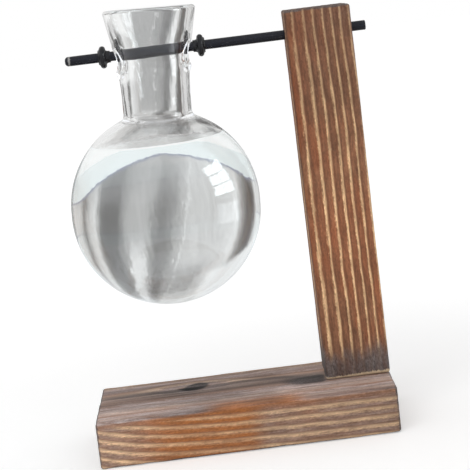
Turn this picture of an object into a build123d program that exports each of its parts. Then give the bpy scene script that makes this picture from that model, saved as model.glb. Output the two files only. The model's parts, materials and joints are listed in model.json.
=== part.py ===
"""Propagation vase: a blown glass bulb that hangs by its neck from a rod, on an L-shaped stand of charred pine.

Millimetres. +Z is up, +X runs along the base towards the post, and -Y is the front.
The origin is the middle of the base's underside.
"""

from build123d import *

import os
from math import cos, radians, sin, sqrt

os.makedirs("parts", exist_ok=True)

# Boards of the stand
base_length = 125.0
base_depth = 58.0
base_height = 20.0
post_width = 27.5
post_depth = 25.0
post_length = 156.0
post_setback = 22.5  # from the front of the base to the front of the post
arris_radius = 1.3  # worn edges of both boards

# Rod that carries the vase
rod_diameter = 4.0
rod_drop = 10.0  # from the top of the post down to the rod's axis
rod_overhang = 6.5  # past the outer face of the post
rod_tail = 14.0  # free end past the left stop ring
rod_nose_radius = 1.5  # domed free end
rod_edge_radius = 0.4  # other end
rod_fit = 0.03  # all round, in the post and in the stop rings

# Rubber stop rings
ring_radius = 4.65
bead_radius = 1.3
sleeve_wall = 0.45
sleeve_reach = 3.1  # from the middle of the bead towards the glass
collar_reach = 1.9  # from the middle of the bead away from the glass
collar_radius = 3.0
ring_gap = 0.3  # between the right ring's sleeve and the glass
ring_play = 0.9  # how much further the left ring stands off the glass

# Glass vase, measured along its own axis from the level of the rod
vase_reach = 55.45  # from the post to the vase's axis
vase_lean = 2.3  # degrees, towards the post at the top
bulb_radius = 40.0
bulb_band = 2.2  # height of the straight band between the bulb's two halves
bulb_drop = 65.7  # from the rod down to the middle of that band
bulb_wall = 1.7
neck_radius = 14.4
neck_wall = 2.5
waist_share = 0.253  # of the way up from the shoulder to the flare, where the neck starts to widen
flare_rise = 1.5  # from the rod up to where the flare runs straight
flare_radius = 16.4
rim_rise = 18.0  # from the rod up to the rim
rim_radius = 19.6
shoulder_radius = 2.6  # inside the corner between the neck and the bulb
rim_round_share = 0.42  # of the wall, on each edge of the rim

# Holes in the neck, pierced level while the glass is hot
hole_radius = 4.4
hang_gap = 0.1  # between the rod and the top of each hole
lip_radius = 6.0
lip_drop = 2.1  # from the hole's centre down to the lip's centre
lip_proud = 0.8  # of the neck

# Wood screws that hold the post
screw_length = 40.0
screw_radius = 2.0
screw_head_radius = 3.8
screw_head_height = 2.4
screw_sink = 1.0  # of the head under the base
screw_tip = 5.0
screw_pitch = 12.5  # between the two screws
screw_hole_gap = 0.05
head_gap = 0.3
recess_width = 0.9
recess_span = 4.4
recess_depth = 1.6

# One overrun for every cut
overrun = 2.0

# Places that follow from the sizes above
post_inner = base_length / 2 - post_width
post_middle = base_length / 2 - post_width / 2
post_front = -base_depth / 2 + post_setback
rod_y = post_front + post_depth / 2
rod_z = base_height + post_length - rod_drop
rod_radius = rod_diameter / 2
bore_radius = rod_radius + rod_fit
vase_x = post_inner - vase_reach
shoulder_drop = bulb_drop - bulb_band / 2 - sqrt(bulb_radius**2 - neck_radius**2)
waist_drop = shoulder_drop - waist_share * (shoulder_drop + flare_rise)
hole_drop = hole_radius - rod_radius - hang_gap
rod_place = Pos(0, rod_y, rod_z)
vase_place = Pos(vase_x, rod_y, rod_z) * Rot(0, vase_lean, 0)


def neck_radius_at(rise):
    """Outer radius of the glass on the straight flare, at a height above the rod."""
    slope = (rim_radius - flare_radius) / (rim_rise - flare_rise)
    return flare_radius + slope * (rise - flare_rise)


def glass_reach(side):
    """How far the leaning glass reaches along X beside a ring's sleeve: side is 1 towards the post, -1 away."""
    lean = radians(vase_lean)
    rise = bore_radius + sleeve_wall + side * flare_radius * sin(lean)
    return neck_radius_at(rise) * cos(lean) + side * rise * sin(lean)


# The stop rings clear the glass beside the tops of its holes, where it comes nearest
right_ring_x = vase_x + glass_reach(1) + ring_gap + sleeve_reach
left_ring_x = vase_x - glass_reach(-1) - ring_gap - ring_play - sleeve_reach
rod_left = left_ring_x - collar_reach - rod_tail
rod_right = base_length / 2 + rod_overhang


def keep(solid, node):
    """Writes one sub-part."""
    export_step(solid, "parts/" + node + ".step")


def along_x(radius, start, end):
    """A round bar along X between two places."""
    return Pos((start + end) / 2, 0, 0) * Rot(0, 90, 0) * Cylinder(radius, end - start)


def board(length, depth, height):
    """A board that stands on the level zero, in the middle of its own footprint."""
    return Pos(0, 0, height / 2) * Box(length, depth, height)


def screw_places():
    """The two screws' axes on the base's underside."""
    return [Pos(post_middle + side * screw_pitch / 2, rod_y, 0) for side in (-1, 1)]


def base_plank():
    """The board that lies on the table, with the two countersunk screw holes."""
    plank = board(base_length, base_depth, base_height)
    plank = fillet(plank.edges(), arris_radius)
    sink_radius = screw_head_radius + head_gap
    for place in screw_places():
        hole = Cylinder(screw_radius + screw_hole_gap, 2 * (base_height + overrun))
        well = Cylinder(sink_radius, 2 * screw_sink)
        seat = Pos(0, 0, screw_sink + screw_head_height / 2) * Cone(
            sink_radius, screw_radius + screw_hole_gap, screw_head_height
        )
        plank -= place * hole
        plank -= place * well
        plank -= place * seat
    return plank


def upright_post():
    """The post, flush with the base's right end, with the rod's bore and the screws' pilot holes."""
    post = board(post_width, post_depth, post_length)
    foot = post.faces().sort_by(Axis.Z)[0]
    upper_edges = [edge for edge in post.edges() if edge not in foot.edges()]
    post = Pos(post_middle, rod_y, base_height) * fillet(upper_edges, arris_radius)
    post -= rod_place * along_x(bore_radius, post_inner - overrun, base_length / 2 + overrun)
    pilot_depth = screw_sink + screw_length - base_height + screw_hole_gap
    for place in screw_places():
        pilot = Cylinder(screw_radius + screw_hole_gap, pilot_depth + overrun)
        post -= place * Pos(0, 0, base_height + (pilot_depth - overrun) / 2) * pilot
    return post


def wood_screw():
    """A countersunk screw that stands on its head, with a cross recess."""
    head = Pos(0, 0, screw_head_height / 2) * Cone(screw_head_radius, screw_radius, screw_head_height)
    shank_length = screw_length - screw_head_height - screw_tip
    shank = Pos(0, 0, screw_head_height + shank_length / 2) * Cylinder(screw_radius, shank_length)
    tip = Pos(0, 0, screw_length - screw_tip / 2) * Cone(screw_radius, 0, screw_tip)
    screw = head + shank + tip
    for turn in (0, 90):
        screw -= Rot(0, 0, turn) * Box(recess_span, recess_width, 2 * recess_depth)
    return screw


def foot_screws():
    """Both screws, with their heads sunk under the base."""
    return Compound([place * Pos(0, 0, screw_sink) * wood_screw() for place in screw_places()])


def hanging_rod():
    """The rod, domed at its free end."""
    rod = along_x(rod_radius, rod_left, rod_right)
    ends = rod.edges().filter_by(GeomType.CIRCLE).sort_by(Axis.X)
    rod = fillet(ends[0], rod_nose_radius)
    ends = rod.edges().filter_by(GeomType.CIRCLE).sort_by(Axis.X)
    return rod_place * fillet(ends[-1], rod_edge_radius)


def stop_ring():
    """A rubber ring turned about X. Its bead is at zero and its sleeve points along +X."""
    bead_middle = ring_radius - bead_radius
    sleeve_radius = bore_radius + sleeve_wall
    flank_foot = (2 * bead_radius, sleeve_radius)
    outline = Polyline(
        (-bead_radius, bead_middle),
        (-collar_reach, collar_radius),
        (-collar_reach, bore_radius),
        (sleeve_reach, bore_radius),
        (sleeve_reach, sleeve_radius),
        flank_foot,
    )
    flank = TangentArc(flank_foot, (bead_radius, bead_middle), tangent=(-1, 0))
    bead = ThreePointArc((bead_radius, bead_middle), (0, ring_radius), (-bead_radius, bead_middle))
    return revolve(make_face([outline, flank, bead]), Axis.X)


def bulb_section(radius):
    """Half of the bulb's section, to the right of its axis: two quarter circles with a band between them."""
    low = -bulb_drop - bulb_band / 2
    high = -bulb_drop + bulb_band / 2
    lower = CenterArc((0, low), radius, -90, 90)
    upper = CenterArc((0, high), radius, 0, 90)
    band = Line((radius, low), (radius, high))
    return make_face([lower, band, upper, Line((0, high + radius), (0, low - radius))])


def neck_section(inset, top):
    """Half of the neck's section, inset from the outer glass, from the bulb's widest level to a top level."""
    waist = (neck_radius - inset, -waist_drop)
    flare = (flare_radius - inset, flare_rise)
    curve = TangentArc(waist, flare, tangent=(0, 1))
    sides = Polyline(
        flare,
        (neck_radius_at(top) - inset, top),
        (0, top),
        (0, -bulb_drop),
        (neck_radius - inset, -bulb_drop),
        waist,
    )
    return make_face([curve, sides])


def turned(neck, bulb):
    """The neck and the bulb as one solid of revolution, with a soft corner between them."""
    section = neck + bulb
    outer_corners = [corner for corner in section.vertices() if corner.X > 0]
    shoulder = min(
        (corner for corner in outer_corners if corner.Y > bulb_band - bulb_drop),
        key=lambda corner: corner.Y,
    )
    return revolve(Plane.XZ * fillet(shoulder, shoulder_radius), Axis.Z)


def glass_vase():
    """The blown vase on its lean, with two level holes that hang on the rod."""
    outer = turned(neck_section(0, rim_rise), bulb_section(bulb_radius))
    inner = turned(neck_section(neck_wall, rim_rise + overrun), bulb_section(bulb_radius - bulb_wall))
    lip_shell = revolve(Plane.XZ * neck_section(-lip_proud, rim_rise), Axis.Z)
    lip_core = revolve(Plane.XZ * neck_section(neck_wall / 2, rim_rise + overrun), Axis.Z)
    hole_line = Pos(vase_x, rod_y, rod_z - hole_drop)
    half_span = rim_radius + overrun
    lips = hole_line * Pos(0, 0, -lip_drop) * along_x(lip_radius, -half_span, half_span)
    holes = hole_line * along_x(hole_radius, -half_span, half_span)
    shell = outer - inner
    rim = shell.faces().sort_by(Axis.Z)[-1]
    shell = vase_place * fillet(rim.edges(), neck_wall * rim_round_share)
    lips = (vase_place * (lip_shell - lip_core)) & lips
    return shell + lips - holes


keep(base_plank(), "base_plank")
keep(upright_post(), "upright_post")
keep(foot_screws(), "foot_screws")
keep(hanging_rod(), "hanging_rod")
keep(Pos(right_ring_x, rod_y, rod_z) * Rot(0, 0, 180) * stop_ring(), "stop_ring_right")
keep(Pos(left_ring_x, rod_y, rod_z) * stop_ring(), "stop_ring_left")
keep(glass_vase(), "glass_vase")
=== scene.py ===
import json
from math import cos, degrees, pi, radians, sin, sqrt

import bmesh
import bpy
import numpy as np
from bpy.props import FloatProperty, FloatVectorProperty, IntProperty, PointerProperty
from bpy.types import Operator, Panel, PropertyGroup
from mathutils import Matrix, Vector


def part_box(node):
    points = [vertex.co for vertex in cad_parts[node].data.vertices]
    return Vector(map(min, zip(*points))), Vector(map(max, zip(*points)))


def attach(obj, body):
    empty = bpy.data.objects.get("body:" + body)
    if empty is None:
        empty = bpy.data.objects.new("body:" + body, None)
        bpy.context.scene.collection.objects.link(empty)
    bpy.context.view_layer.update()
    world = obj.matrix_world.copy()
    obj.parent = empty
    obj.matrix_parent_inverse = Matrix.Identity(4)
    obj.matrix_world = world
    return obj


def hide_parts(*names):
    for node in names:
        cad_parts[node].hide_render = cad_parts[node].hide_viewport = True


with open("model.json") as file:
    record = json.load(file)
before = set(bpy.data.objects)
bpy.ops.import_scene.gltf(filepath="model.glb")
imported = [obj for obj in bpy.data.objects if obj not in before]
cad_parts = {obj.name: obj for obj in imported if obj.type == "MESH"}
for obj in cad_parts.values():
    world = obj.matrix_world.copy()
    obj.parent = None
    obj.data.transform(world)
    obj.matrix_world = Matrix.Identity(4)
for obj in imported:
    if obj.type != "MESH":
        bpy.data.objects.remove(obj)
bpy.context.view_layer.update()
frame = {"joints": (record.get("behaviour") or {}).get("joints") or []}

bl_info = {
    "name": "Propagation Vase",
    "version": (1, 0, 0),
    "blender": (4, 5, 0),
    "location": "View3D > Sidebar > Vase",
    "description": "A blown glass bulb of water that hangs from a rod on a charred pine stand",
    "category": "Add Mesh",
}

mm = 0.001
weld = 0.002 * mm  # points nearer than this are one
hair = 0.02 * mm  # keeps a surface off the one beside it
overrun = 2 * mm  # of a cutter past the piece that it cuts
calm_radius = 12 * mm  # round the bulb's bottom, where the waves of its glass fade out
knot_along, knot_back = 40.5, 40.5  # place of the plank's knot, in millimetres from its left and front

# Places that the frame gives
base_low, base_high = (np.array(corner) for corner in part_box("base_plank"))
post_low, post_high = (np.array(corner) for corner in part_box("upright_post"))
rod_low, rod_high = (np.array(corner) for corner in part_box("hanging_rod"))
screws_low, screws_high = (np.array(corner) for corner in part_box("foot_screws"))
swing = next(joint for joint in frame["joints"] if joint["name"] == "vase_swing")
hang_point = np.array(swing["pos_m"])
rod_y, rod_z = (rod_low[1:] + rod_high[1:]) / 2
rod_radius = (rod_high[2] - rod_low[2]) / 2


def tone(red, green, blue):
    """A colour as a colour picker shows it, from 0 to 255, as the linear values that the shaders take."""
    return tuple(((part / 255 + 0.055) / 1.055) ** 2.4 for part in (red, green, blue))


def length(name, size, description):
    """A property for a length, its default given in millimetres."""
    return FloatProperty(name=name, description=description, default=size * mm, unit="LENGTH", precision=5)


def share(name, value, description):
    """A property from 0 to 1."""
    return FloatProperty(name=name, description=description, default=value, min=0, max=1, subtype="FACTOR")


def angle(name, turn, description):
    """A property for an angle, its default given in degrees."""
    return FloatProperty(name=name, description=description, default=radians(turn), subtype="ANGLE")


def level(name, value, description):
    """A property for a strength."""
    return FloatProperty(name=name, description=description, default=value, min=0)


def count(name, value, description):
    """A property for a whole number."""
    return IntProperty(name=name, description=description, default=value, min=1)


def colour(name, value, description):
    """A property for a colour."""
    return FloatVectorProperty(
        name=name, description=description, default=value, size=3, subtype="COLOR", min=0, max=1,
    )


# Settings

class BoardSettings:
    """What both boards of the stand share."""

    arris: length("Arris", 1.3, "Radius of the worn edges")
    brush_depth: length("Brushed depth", 0.3, "How far brushing has sunk the soft wood")
    fibre_depth: length("Fibre depth", 0.07, "Height of the single fibres")
    wear_depth: length("Wear", 0.35, "How far the arrises are worn away in places")
    # Char also colours the painted shadow beside the post's foot
    char: colour("Char", tone(68, 62, 62), "Burnt wood")
    ash: colour("Ash", tone(140, 131, 128), "Grey specks in the char")
    bare: colour("Bare wood", tone(204, 182, 152), "Wood that the flame never reached")


class PostSettings(BoardSettings, PropertyGroup):
    """The upright post."""

    line_width: share("Line width", 0.21, "How far each hard line reaches, of a year ring")
    soft: colour("Soft wood", tone(164, 112, 80), "Charred and oiled wood between the hard lines")
    deep: colour("Late wood", tone(104, 68, 47), "Darkest brown between the hard lines")
    line: colour("Hard line", tone(250, 208, 158), "Year-ring line from which the char is brushed off")
    warm: colour("Warm stain", tone(156, 84, 48), "Reddish patches")
    grey: colour("Greyed wood", tone(138, 108, 92), "Greyed patches")


class BaseSettings(BoardSettings, PropertyGroup):
    """The plank that lies on the table."""

    line_width: share("Line width", 0.38, "How far each hard line reaches, of a year ring")
    soft: colour("Soft wood", tone(167, 126, 94), "Charred and oiled wood between the hard lines")
    deep: colour("Late wood", tone(122, 88, 68), "Darkest brown between the hard lines")
    line: colour("Hard line", tone(222, 186, 148), "Year-ring line from which the char is brushed off")
    warm: colour("Warm stain", tone(182, 109, 52), "Honey and orange patches")
    grey: colour("Greyed wood", tone(176, 166, 165), "Greyed patches")


class GlassSettings(PropertyGroup):
    """The blown vase. Heights are measured from the rod's axis, along the vase's own."""

    lean: angle("Lean", 2.3, "How far the vase leans, towards the post at the top")
    bulb_radius: length("Bulb radius", 39.96, "Outer radius of the bulb")
    bulb_band: length("Bulb band", 2.2, "Height of the straight band round the bulb")
    bulb_drop: length("Bulb drop", 65.7, "From the rod down to the middle of the bulb")
    bulb_wall: length("Bulb wall", 1.7, "Thickness of the bulb's glass")
    neck_radius: length("Neck radius", 14.4, "Outer radius at the narrowest level")
    neck_wall: length("Neck wall", 2.5, "Thickness of the neck's glass")
    waist_drop: length("Waist drop", 20.0, "From the rod down to where the neck starts to widen")
    flare_rise: length("Flare rise", 1.5, "From the rod up to where the flare runs straight")
    flare_radius: length("Flare radius", 16.4, "Outer radius there")
    rim_rise: length("Rim rise", 17.97, "From the rod up to the rim")
    rim_radius: length("Rim radius", 19.57, "Outer radius of the rim")
    shoulder_radius: length("Shoulder", 2.6, "Radius of the corner between neck and bulb")
    hole_radius: length("Hole radius", 4.4, "Radius of the two holes in the neck")
    hole_drop: length("Hole drop", 2.3, "From the rod down to the middle of the holes")
    edge_round: length("Hole edge", 1.0, "How far the fire-polished edges of the holes are rounded")
    lip_drop: length("Lip drop", 2.1, "From the middle of a hole down to the middle of its thick lip")
    lip_radius: length("Lip radius", 6.6, "How far the thick lip reaches")
    lip_height: length("Lip height", 0.8, "How far the thick lip stands proud")
    collar: length("Collar", 0.7, "How much thicker the glass is at the level of the rod")
    collar_reach: length("Collar reach", 6.5, "How far above and below the rod it is thicker")
    ripple: length("Ripple", 0.10, "Unevenness of the outer surface")
    wall_ripple: length("Wall ripple", 0.22, "Unevenness of the inner surface")
    spokes: count("Spokes", 160, "Divisions round the vase")
    tint: colour("Tint", (0.985, 0.992, 0.99), "Colour of the glass")


class WaterSettings(PropertyGroup):
    """The water in the bulb."""

    level: length("Level", 128.5, "Height of the water above the table")
    climb: length("Climb", 0.3, "How far the water climbs the glass")
    climb_reach: length("Climb reach", 0.6, "How far from the glass the water rises")
    hold: length("Hold", 0.06, "How far the water reaches into the glass, to leave no air between")
    tint: colour("Tint", (0.985, 0.995, 0.995), "Colour of the water")


class RodSettings(PropertyGroup):
    """The rod and the rubber rings on it."""

    nose_radius: length("Nose", 1.5, "Radius of the domed free end")
    edge_radius: length("Edge", 0.4, "Radius of the other end's edge")
    bead_radius: length("Bead", 1.3, "Radius of a ring's bead")
    sleeve_wall: length("Sleeve wall", 0.45, "Wall of a ring's sleeve")
    collar_reach: length("Collar reach", 1.9, "From the middle of a ring's bead to the end of its collar")
    collar_radius: length("Collar radius", 3.0, "Outer radius of a ring's collar")
    soft_edge: length("Soft edge", 0.12, "Radius of a ring's edges")
    fit: length("Fit", 0.03, "Gap between the rod and its rings")
    paint: colour("Paint", tone(20, 22, 30), "Satin black paint")
    steel: colour("Steel", tone(150, 148, 145), "Bare metal where the paint is worn")
    rubber: colour("Rubber", tone(20, 20, 23), "Black rubber")


class ScrewSettings(PropertyGroup):
    """The two countersunk screws that hold the post."""

    radius: length("Radius", 2.0, "Outer radius of the thread")
    head_radius: length("Head radius", 3.8, "Radius of the head")
    head_height: length("Head height", 2.4, "Height of the countersunk head")
    tip: length("Tip", 5.0, "Length of the point")
    plain: length("Plain shank", 4.0, "Between the head and the thread")
    thread_pitch: length("Thread pitch", 1.8, "From one turn of the thread to the next")
    thread_depth: length("Thread depth", 0.5, "Depth of the thread")
    spacing: length("Spacing", 12.5, "Between the two screws")
    sink: length("Sink", 1.0, "How far the heads are sunk")
    head_gap: length("Head gap", 0.3, "Gap round each head")
    hole_gap: length("Hole gap", 0.05, "Gap round each shank")
    recess_span: length("Recess span", 4.4, "Length of each arm of the cross recess")
    recess_width: length("Recess width", 0.9, "Width of its arms")
    recess_depth: length("Recess depth", 1.6, "Depth of the recess")
    recess_edge: length("Recess edge", 0.2, "Radius of the recess's edges")
    edge_radius: length("Edge", 0.25, "Radius of the head's edge")
    zinc: colour("Zinc", tone(190, 184, 166), "Zinc plating")


class StageSettings(PropertyGroup):
    """Floor, surround, lamps and camera."""

    floor_size: length("Floor size", 8000, "Side of the floor")
    floor_white: share("Floor white", 0.93, "How pale the floor is")
    floor_lift: level("Floor lift", 0.29, "How much paler the camera sees the floor near the object")
    far_lift: level("Far floor lift", 0.45, "How much paler the camera sees the floor far away")
    glass_lift: level("Floor lift through glass", 0.30, "How much paler glass and water show the floor")
    surround_radius: length("Surround radius", 235, "From the vase to the surround that its glass shows")
    surround_height: length("Surround height", 640, "Height of that surround")
    fold_slant: angle("Fold slant", 6.3, "How far the surround's folds turn over 100 mm of height")
    hem: colour("Hem", tone(128, 134, 158), "Edge between the grey folds and the white below them")
    table: colour("White below", tone(234, 241, 242), "White below the folds, seen in the water")
    fill: level("Fill", 0.62, "Light from all round")
    key: level("Key", 4.2, "Power of the large soft lamp, in watts")
    window: level("Window", 7.5, "Brightness of the window that the glass mirrors")
    sill: level("Sill", 2.4, "Brightness of the paler field below it")
    eye: FloatVectorProperty(
        name="Eye", description="Where the camera stands", size=3, subtype="TRANSLATION", unit="LENGTH",
        default=(1.36 * mm, -665.3 * mm, 192.3 * mm),
    )
    yaw: angle("Yaw", 0.254, "How far the camera turns to the right")
    pitch: angle("Pitch", 9.10, "How far the camera looks down")
    roll: angle("Roll", -7.096, "How far the camera is tipped, as the photograph is")
    lens: FloatProperty(name="Lens", description="Focal length in millimetres", default=122.66)


# Random values and smooth steps on arrays

def noise(points, lump, seed):
    """Smooth random values from 0 to 1 at each point, in lumps of about that size along X, Y and Z."""
    cells = 32
    table = np.random.default_rng(seed).random((cells, cells, cells))
    place = np.asarray(points) / (np.asarray(lump) * mm) + cells
    low = np.floor(place).astype(int)
    part = place - low
    part = part * part * (3 - 2 * part)
    total = np.zeros(len(place))
    for corner in np.ndindex(2, 2, 2):
        weight = np.prod(np.where(corner, part, 1 - part), axis=1)
        x, y, z = ((low + corner) % cells).T
        total += weight * table[x, y, z]
    return total


def ease(value, low, high):
    """0 below low, 1 above high and smooth between them. low may be the larger."""
    part = np.clip((value - low) / (high - low), 0, 1)
    return part * part * (3 - 2 * part)


def beside(value, place, far, close):
    """1 within close of a place, 0 beyond far and smooth between them."""
    return ease(np.abs(value - place), far, close)


# Meshes

def new_object(name, mesh):
    """A linked object at the origin."""
    made = bpy.data.objects.new(name, mesh)
    bpy.context.scene.collection.objects.link(made)
    return made


def new_mesh(name, points, faces):
    """A mesh of points and faces, given as lists of corners."""
    mesh = bpy.data.meshes.new(name)
    mesh.from_pydata(np.asarray(points).tolist(), [], [list(map(int, face)) for face in faces])
    mesh.validate()
    return mesh


def points_of(mesh):
    """The mesh's points as an array."""
    flat = np.empty(len(mesh.vertices) * 3)
    mesh.vertices.foreach_get("co", flat)
    return flat.reshape(-1, 3)


def move_points(mesh, points):
    """Puts the mesh's points there."""
    mesh.vertices.foreach_set("co", points.ravel())
    mesh.update()


def give_values(mesh, name, values):
    """Stores one number a point, for the materials."""
    layer = mesh.attributes.new(name, "FLOAT", "POINT")
    layer.data.foreach_set("value", np.asarray(values, dtype=float))


def applied(thing):
    """Turns an object with modifiers into a plain mesh object of the same name."""
    seen = thing.evaluated_get(bpy.context.evaluated_depsgraph_get())
    mesh = bpy.data.meshes.new_from_object(seen)
    old = thing.data
    thing.modifiers.clear()
    thing.data = mesh
    mesh.name = thing.name
    if old.users == 0:
        bpy.data.meshes.remove(old)
    return thing


def cut(thing, cutter):
    """Cuts the cutter's shape out of a thing and deletes the cutter."""
    modifier = thing.modifiers.new("Cut", "BOOLEAN")
    modifier.object = cutter
    modifier.operation = "DIFFERENCE"
    modifier.solver = "EXACT"
    applied(thing)
    bpy.data.objects.remove(cutter)


def outward(thing, merge=0.0):
    """Drops loose points, merges doubles, turns the faces outwards and shades them smooth."""
    shell = bmesh.new()
    shell.from_mesh(thing.data)
    loose = [vert for vert in shell.verts if not vert.link_faces]
    bmesh.ops.delete(shell, geom=loose, context="VERTS")
    if merge:
        bmesh.ops.remove_doubles(shell, verts=shell.verts, dist=merge)
    bmesh.ops.recalc_face_normals(shell, faces=shell.faces)
    shell.to_mesh(thing.data)
    shell.free()
    thing.data.polygons.foreach_set("use_smooth", [True] * len(thing.data.polygons))
    thing.data.update()


def arc(centre, radius, start, end, steps):
    """Points on an arc, angles in degrees."""
    turns = np.radians(np.linspace(start, end, steps + 1))
    return np.stack([centre[0] + radius * np.cos(turns), centre[1] + radius * np.sin(turns)], -1)


def joined(*runs):
    """Runs of points one after another, each shared end once."""
    points = np.concatenate(runs)
    apart = np.linalg.norm(np.diff(points, axis=0), axis=1) > 0.001 * mm
    return points[np.concatenate([[True], apart])]


def ring_of(row, spokes):
    """The point numbers of one row round the vase."""
    return np.arange(spokes) + row * spokes


def ring_faces(one, other):
    """Quads between two rings of point numbers."""
    after = np.roll(np.arange(len(one)), -1)
    return list(zip(one, one[after], other[after], other))


def pole_faces(pole, ring):
    """Triangles between a pole and a ring of point numbers."""
    return [(pole, after, spot) for after, spot in zip(np.roll(ring, -1), ring)]


# Node trees

class Nodes:
    """Adds nodes to one tree, in short form."""

    def __init__(self, tree):
        self.tree = tree
        self.tree.nodes.clear()

    def node(self, kind, inputs=(), **settings):
        """Adds a node, sets it up and feeds its sockets."""
        made = self.tree.nodes.new(kind)
        for name, value in settings.items():
            setattr(made, name, value)
        for socket, value in dict(inputs).items():
            if isinstance(value, bpy.types.NodeSocket):
                self.tree.links.new(value, made.inputs[socket])
            else:
                made.inputs[socket].default_value = value
        return made

    def sum(self, operation, first, second=0.0):
        """One Math node's result."""
        return self.node("ShaderNodeMath", {0: first, 1: second}, operation=operation).outputs[0]

    def plus(self, first, second):
        """A sum."""
        return self.sum("ADD", first, second)

    def minus(self, first, second):
        """A difference."""
        return self.sum("SUBTRACT", first, second)

    def times(self, first, second):
        """A product."""
        return self.sum("MULTIPLY", first, second)

    def blend(self, factor, first, second):
        """Two shaders mixed."""
        return self.node("ShaderNodeMixShader", {0: factor, 1: first, 2: second}).outputs[0]


class PieceTree(Nodes):
    """A Geometry Nodes tree with named inputs, which makes real geometry with its material."""

    def __init__(self, name, source, result, defaults):
        super().__init__(bpy.data.node_groups.new(name, "GeometryNodeTree"))
        kinds = {int: "Int", float: "Float", tuple: "Vector"}
        inputs = [(source, "Geometry"), *((label, kinds[type(defaults[label])]) for label in defaults)]
        for label, kind in (*inputs, ("Finish", "Material")):
            socket = self.tree.interface.new_socket(label, in_out="INPUT", socket_type="NodeSocket" + kind)
            if label in defaults:
                socket.default_value = defaults[label]
        self.tree.interface.new_socket(result, in_out="OUTPUT", socket_type="NodeSocketGeometry")
        self.given = self.node("NodeGroupInput").outputs

    def ended(self, geometry):
        """Ends the tree with real geometry and its material."""
        whole = self.node("GeometryNodeRealizeInstances", {"Geometry": geometry}).outputs[0]
        made = self.node("GeometryNodeSetMaterial", {"Geometry": whole, "Material": self.given["Finish"]})
        self.node("NodeGroupOutput", {0: made.outputs[0]})
        return self.tree


def turning_tree():
    """Turns a profile in the XZ plane about Z, with a thread round the part that it marks."""
    tree = PieceTree("Turned Piece", "Profile", "Piece", {
        "Spokes": 96, "Thread Pitch": 1.8 * mm, "Thread Depth": 0.0,
    })
    profile = tree.given["Profile"]
    rows = tree.node("GeometryNodeAttributeDomainSize", {0: profile}).outputs["Point Count"]
    grid = tree.node("GeometryNodeMeshGrid", {
        "Size X": 1.0, "Size Y": 1.0,
        "Vertices X": tree.plus(tree.given["Spokes"], 1.0), "Vertices Y": rows,
    }).outputs["Mesh"]
    position = tree.node("GeometryNodeInputPosition").outputs[0]
    place = tree.node("ShaderNodeSeparateXYZ", {0: position}).outputs
    turn = tree.times(tree.plus(place[0], 0.5), 2 * pi)
    row = tree.sum("ROUND", tree.times(tree.plus(place[1], 0.5), tree.minus(rows, 1.0)))
    sampled = tree.node("GeometryNodeSampleIndex", {
        "Geometry": profile, "Value": position, "Index": row,
    }, data_type="FLOAT_VECTOR").outputs[0]
    radius, thread, height = tree.node("ShaderNodeSeparateXYZ", {0: sampled}).outputs
    pitches = tree.sum("DIVIDE", height, tree.given["Thread Pitch"])
    wound = tree.minus(pitches, tree.sum("DIVIDE", turn, 2 * pi))
    valley = tree.sum("PINGPONG", tree.sum("FRACT", wound), 0.5)
    dip = tree.times(tree.times(valley, 2.0), tree.times(thread, tree.given["Thread Depth"]))
    spoke = tree.minus(radius, dip)
    there = tree.node("ShaderNodeCombineXYZ", {
        0: tree.times(spoke, tree.sum("COSINE", turn)), 1: tree.times(spoke, tree.sum("SINE", turn)),
        2: height,
    }).outputs[0]
    shaped = tree.node("GeometryNodeSetPosition", {"Geometry": grid, "Position": there}).outputs[0]
    closed = tree.node("GeometryNodeMergeByDistance", {"Geometry": shaped, "Distance": weld})
    return tree.ended(closed.outputs[0])


def line_tree():
    """Sets copies of the piece in a line along X."""
    tree = PieceTree("Copies in a Line", "Piece", "Pieces", {
        "Count": 2, "First": (0.0, 0.0, 0.0), "Spacing": 12.5 * mm, "Turn": 0.6,
    })
    step = tree.node("ShaderNodeCombineXYZ", {0: tree.given["Spacing"]}).outputs[0]
    line = tree.node("GeometryNodeMeshLine", {
        "Count": tree.given["Count"], "Start Location": tree.given["First"], "Offset": step,
    }).outputs[0]
    order = tree.node("GeometryNodeInputIndex").outputs[0]
    turn = tree.node("ShaderNodeCombineXYZ", {2: tree.times(order, tree.given["Turn"])}).outputs[0]
    copies = tree.node("GeometryNodeInstanceOnPoints", {
        "Points": line, "Instance": tree.given["Piece"], "Rotation": turn,
    })
    return tree.ended(copies.outputs[0])


def shaped_by(thing, tree, values):
    """Runs a tree on an object with these named inputs and keeps the plain mesh."""
    modifier = thing.modifiers.new(tree.name, "NODES")
    modifier.node_group = tree
    for item in tree.interface.items_tree:
        if item.item_type == "SOCKET" and item.name in values:
            modifier[item.identifier] = values[item.name]
    return applied(thing)


def turned(name, profile, values, marks=None):
    """A piece turned about Z from a profile of (radius, height) points. marks says where its thread is."""
    marks = np.zeros(len(profile)) if marks is None else marks
    points = np.stack([profile[:, 0], marks, profile[:, 1]], -1)
    edges = [(i, i + 1) for i in range(len(points) - 1)]
    mesh = bpy.data.meshes.new(name)
    mesh.from_pydata(points.tolist(), edges, [])
    tree = bpy.data.node_groups.get("Turned Piece") or turning_tree()
    made = shaped_by(new_object(name, mesh), tree, values)
    outward(made, merge=weld)
    return made


def laid_along_x(thing, place, flip=False):
    """Turns a piece from along Z to along X, its foot at place. flip points it the other way."""
    turn = Matrix.Rotation(-pi / 2 if flip else pi / 2, 4, "Y")
    thing.data.transform(Matrix.Translation(Vector(place)) @ turn)
    thing.data.update()


# Materials

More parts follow.
